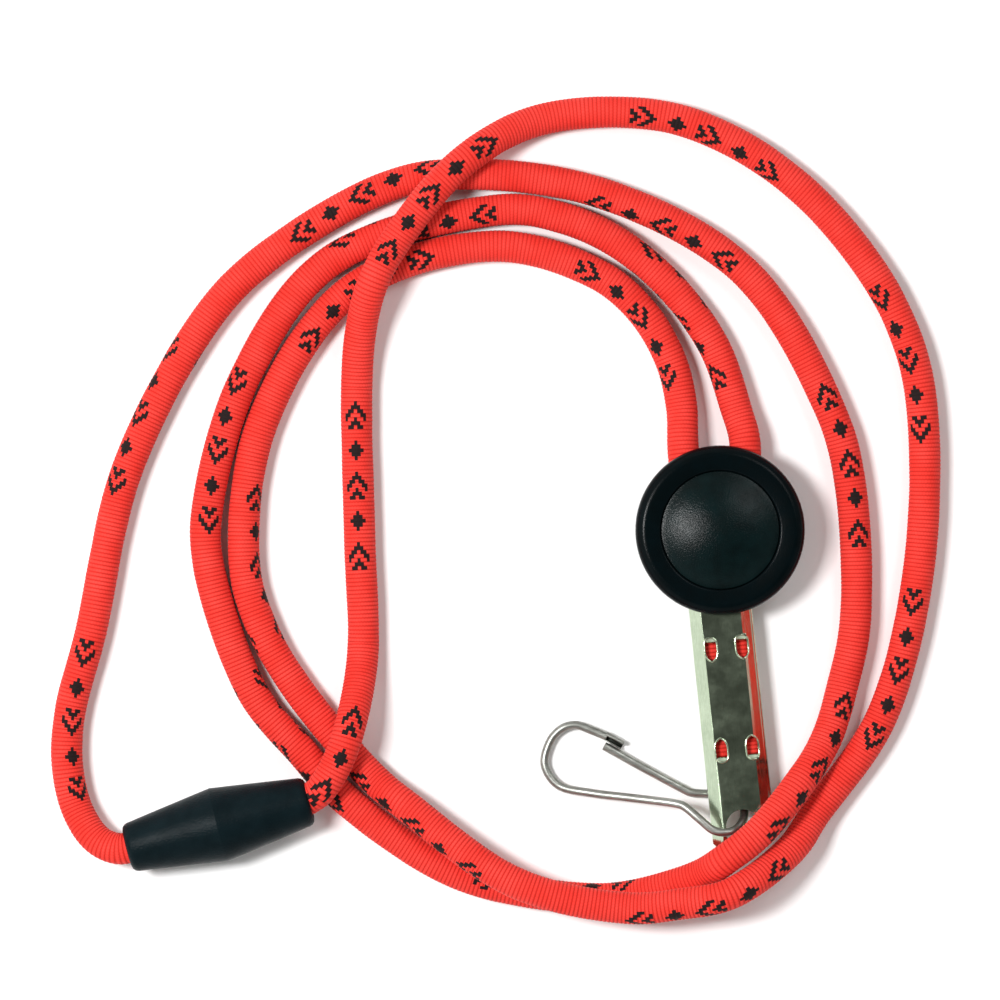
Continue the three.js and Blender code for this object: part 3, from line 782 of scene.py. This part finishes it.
def mark_mask(tree):
    """Groups of five stepped marks woven in black: chevron pairs and small lozenges in turn."""
    at = split(tree, put(tree, "UVMap", uv_map="marks").outputs[0])
    since = calc(tree, "SUBTRACT", at["X"], FIRST_MARK)
    along = calc(tree, "MULTIPLY", calc(tree, "FRACT", calc(tree, "DIVIDE", since, MARK_PERIOD)),
                 MARK_PERIOD)
    cell = calc(tree, "DIVIDE", along, MARK_PITCH)
    column = calc(tree, "FLOOR",
                  calc(tree, "MULTIPLY", calc(tree, "FRACT", cell), MARK_PITCH / RIB_PITCH))
    turn = calc(tree, "SUBTRACT", calc(tree, "FRACT", calc(tree, "ADD", at["Y"], 1000.5)), 0.5)
    row = calc(tree, "ABSOLUTE", calc(tree, "ROUND", calc(tree, "MULTIPLY", turn,
                                                           math.pi * CORD_R / MARK_ROW)))
    slant = calc(tree, "ADD", column, row)
    pair = calc(tree, "ADD", between(tree, slant, 0.5, 2.5), between(tree, slant, 4.5, 6.5))
    far = calc(tree, "ADD", calc(tree, "ABSOLUTE", calc(tree, "SUBTRACT", column, 3.0)), row)
    lozenge = calc(tree, "LESS_THAN", far, 2.5)
    odd = calc(tree, "GREATER_THAN", calc(tree, "MODULO", cell, 2.0), 1.0)
    shape = calc(tree, "ADD", calc(tree, "MULTIPLY", pair, calc(tree, "SUBTRACT", 1.0, odd)),
                 calc(tree, "MULTIPLY", lozenge, odd))
    kept = calc(tree, "MULTIPLY", between(tree, column, -0.5, 6.5),
                calc(tree, "LESS_THAN", row, 3.5))
    kept = calc(tree, "MULTIPLY", kept, calc(tree, "LESS_THAN", along, MARK_GROUP + 0.5))
    from_mouth = split(tree, put(tree, "UVMap", uv_map="weave").outputs[0])["X"]
    kept = calc(tree, "MULTIPLY", kept, calc(tree, "GREATER_THAN", from_mouth, BARE_AT_MOUTH))
    return calc(tree, "MULTIPLY", shape, kept)


def woven_polyester():
    material, tree, shader, place = finish("woven_polyester", Roughness=0.75, Sheen_Weight=0.12,
                                           Sheen_Roughness=0.4, Specular_IOR_Level=0.1)
    shader["Sheen Tint"].default_value = (1.0, 0.55, 0.5, 1)
    at = split(tree, put(tree, "UVMap", uv_map="weave").outputs[0])
    cloth = use(tree, WEAVE, Along=at["X"], Around=at["Y"])
    slow = put(tree, "TexNoise", {"Vector": place, "Scale": 260.0, "Detail": 3.0}).outputs["Fac"]
    bright = tint(tree, scaled(tree, slow, 0.3, 0.7, 0.0, 1.0),
                  (0.74, 0.034, 0.024, 1), (0.84, 0.056, 0.044, 1))
    # Painted shade: the colour falls from the thread's own tone on the rib and stitch tops to dark
    # red in the valleys between them. The slow change between the two bright tones is the thread's
    # own.
    thread = tint(tree, scaled(tree, cloth["Stitch"], 0.0, 0.8, 0.0, 1.0),
                  (0.46, 0.013, 0.008, 1), bright)
    tree.links.new(tint(tree, mark_mask(tree), thread, (0.014, 0.008, 0.008, 1)),
                   shader["Base Color"])
    bump(tree, shader, cloth["Height"], 0.05)
    return material


def melted_cord():
    material, tree, shader, place = finish("melted_cord", Specular_IOR_Level=0.6)
    lumps = put(tree, "TexNoise", {"Vector": place, "Scale": 1500.0, "Detail": 4.0}).outputs["Fac"]
    tree.links.new(tint(tree, lumps, (0.5, 0.02, 0.012, 1), (0.16, 0.008, 0.006, 1)),
                   shader["Base Color"])
    tree.links.new(scaled(tree, lumps, 0.3, 0.7, 0.25, 0.5), shader["Roughness"])
    bump(tree, shader, lumps, 0.15)
    return material


WOVEN = woven_polyester()
MELTED = melted_cord()
NICKEL = plated_steel("nickel_plate", (0.62, 0.72, 0.54, 1), (0.46, 0.55, 0.4, 1), 0.15, 0.01,
                      (9000.0, 700.0, 9000.0))
WIRE = plated_steel("plated_spring_wire", (0.4, 0.41, 0.38, 1), (0.17, 0.17, 0.155, 1),
                    0.38, 0.02, (300.0, 3200.0, 3200.0), 18.0)
# Near-black steel for the inside of the trough's channel: painted shade for the deep slot.
CHANNEL_PAINTED_SHADE = plated_steel("channel_painted_shade", (0.03, 0.034, 0.028, 1), (0.012, 0.013, 0.011, 1),
                        0.5, 0.02, (500.0, 7000.0, 7000.0), 18.0)
SHELL = black_plastic("slider_plastic", (0.0007, 0.0023, 0.0028, 1), (0.0015, 0.004, 0.005, 1),
                      7000.0, 0.012, 0.22, 0.06)
DOME = black_plastic("dome_plastic", (0.001, 0.004, 0.0042, 1), (0.0025, 0.0085, 0.009, 1),
                     6000.0, 0.028, 0.25, 0.1)
BARREL = black_plastic("barrel_plastic", (0.002, 0.0062, 0.008, 1), (0.004, 0.01, 0.0125, 1),
                       4200.0, 0.05, 0.38, 0.055)


# ---- assembly ----------------------------------------------------------------------------
def dress(piece, material, nodes=(), body=None):
    piece.data.materials.clear()
    piece.data.materials.append(material)
    if nodes:
        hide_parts(*nodes)
    if body:
        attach(piece, body)


def lay_cords():
    dress(cord_right, WOVEN, ["cord_strand_right", "cord_end_right"])
    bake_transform(cord_right)
    dress(cord_left, WOVEN, ["cord_strand_left", "cord_end_left"], "cord_and_crimp")
    for node in ("cord_tip_right", "cord_tip_left"):
        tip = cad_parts[node]
        tip.data.materials.clear()
        tip.data.materials.append(MELTED)


def fit_hardware():
    dress(slider_shell(), SHELL, ["slider_front"], "slider")
    dress(slider_dome(), DOME, ["slider_cap"], "slider")
    dress(slider_cup(), SHELL, ["slider_back"], "slider")
    dress(barrel_socket(), BARREL, ["breakaway_socket"], "cord_and_crimp")
    dress(barrel_plug(), BARREL, ["breakaway_plug"], "plug_half")
    dress(crimp_body(), NICKEL, ["crimp_sleeve"], "cord_and_crimp")
    for piece in punchings():
        dress(piece, NICKEL, (), "cord_and_crimp")
    dress(bent_wire("hook_bow", eye_points() + LOWER_ARM + BOW), WIRE,
          ["hook_wire"], "hook")
    trough, channel = hook_trough()
    dress(trough, WIRE, (), "hook")
    # The channel's faces get the near-black steel: painted shade in the slot.
    trough.data.materials.append(CHANNEL_PAINTED_SHADE)
    for face in channel:
        trough.data.polygons[face].material_index = 1
    dress(bent_wire("hook_gate", GATE), WIRE, ["hook_gate_arm"], "gate")


lay_cords()
fit_hardware()


# ---- floor and light ---------------------------------------------------------------------
def pale_floor():
    work_on(None)
    bpy.ops.mesh.primitive_plane_add(size=3, location=(0, 0, -0.0002))
    floor = name_piece(bpy.context.object, "floor")
    material, tree, shader, place = finish("pale_floor", Roughness=0.8, Specular_IOR_Level=0.1)
    paper = put(tree, "TexNoise", {"Vector": place, "Scale": 900.0, "Detail": 2.0}).outputs["Fac"]
    tree.links.new(tint(tree, paper, (0.9, 0.9, 0.9, 1), (0.88, 0.88, 0.88, 1)),
                   shader["Base Color"])
    floor.data.materials.append(material)


def soft_box(name, place, aim, size, power):
    bpy.ops.object.light_add(type="AREA", location=place)
    lamp = bpy.context.object
    lamp.name = name
    lamp.rotation_euler = (Vector(aim) - Vector(place)).to_track_quat("-Z", "Y").to_euler()
    lamp.data.shape = "RECTANGLE"
    lamp.data.size, lamp.data.size_y = size
    lamp.data.energy = power
    lamp.visible_camera = False


def room():
    """Bright walls round a darker ceiling, so that flat metal facing up reads dark."""
    world = bpy.data.worlds.new("room")
    bpy.context.scene.world = world
    world.use_nodes = True
    tree = world.node_tree
    tree.nodes.clear()
    ray = split(tree, put(tree, "TexCoord").outputs["Generated"])
    ramp = put(tree, "ValToRGB", {0: ray["Z"]})
    stops = ramp.color_ramp.elements
    stops[0].position, stops[0].color = 0.0, (0.85, 0.85, 0.85, 1)
    stops[1].position, stops[1].color = 0.58, (0.95, 0.95, 0.95, 1)
    for position, level in ((0.72, 0.6), (0.86, 0.13), (1.0, 0.055)):
        stop = stops.new(position)
        stop.color = (level, level * 1.04, level * 0.96, 1)
    side = scaled(tree, ray["X"], -0.6, 0.6, 1.2, 0.5)
    light = put(tree, "Background", {0: ramp.outputs[0], 1: side})
    out = put(tree, "OutputWorld")
    tree.links.new(light.outputs[0], out.inputs[0])


pale_floor()
room()
middle = (0.005, 0.02, 0)
soft_box("key_light", (-0.28, 0.06, 0.6), middle, (0.12, 0.16), 4.4)
soft_box("fill_light", (0.3, 0.28, 0.55), middle, (0.25, 0.25), 1.0)
bpy.context.scene.view_settings.view_transform = "Standard"
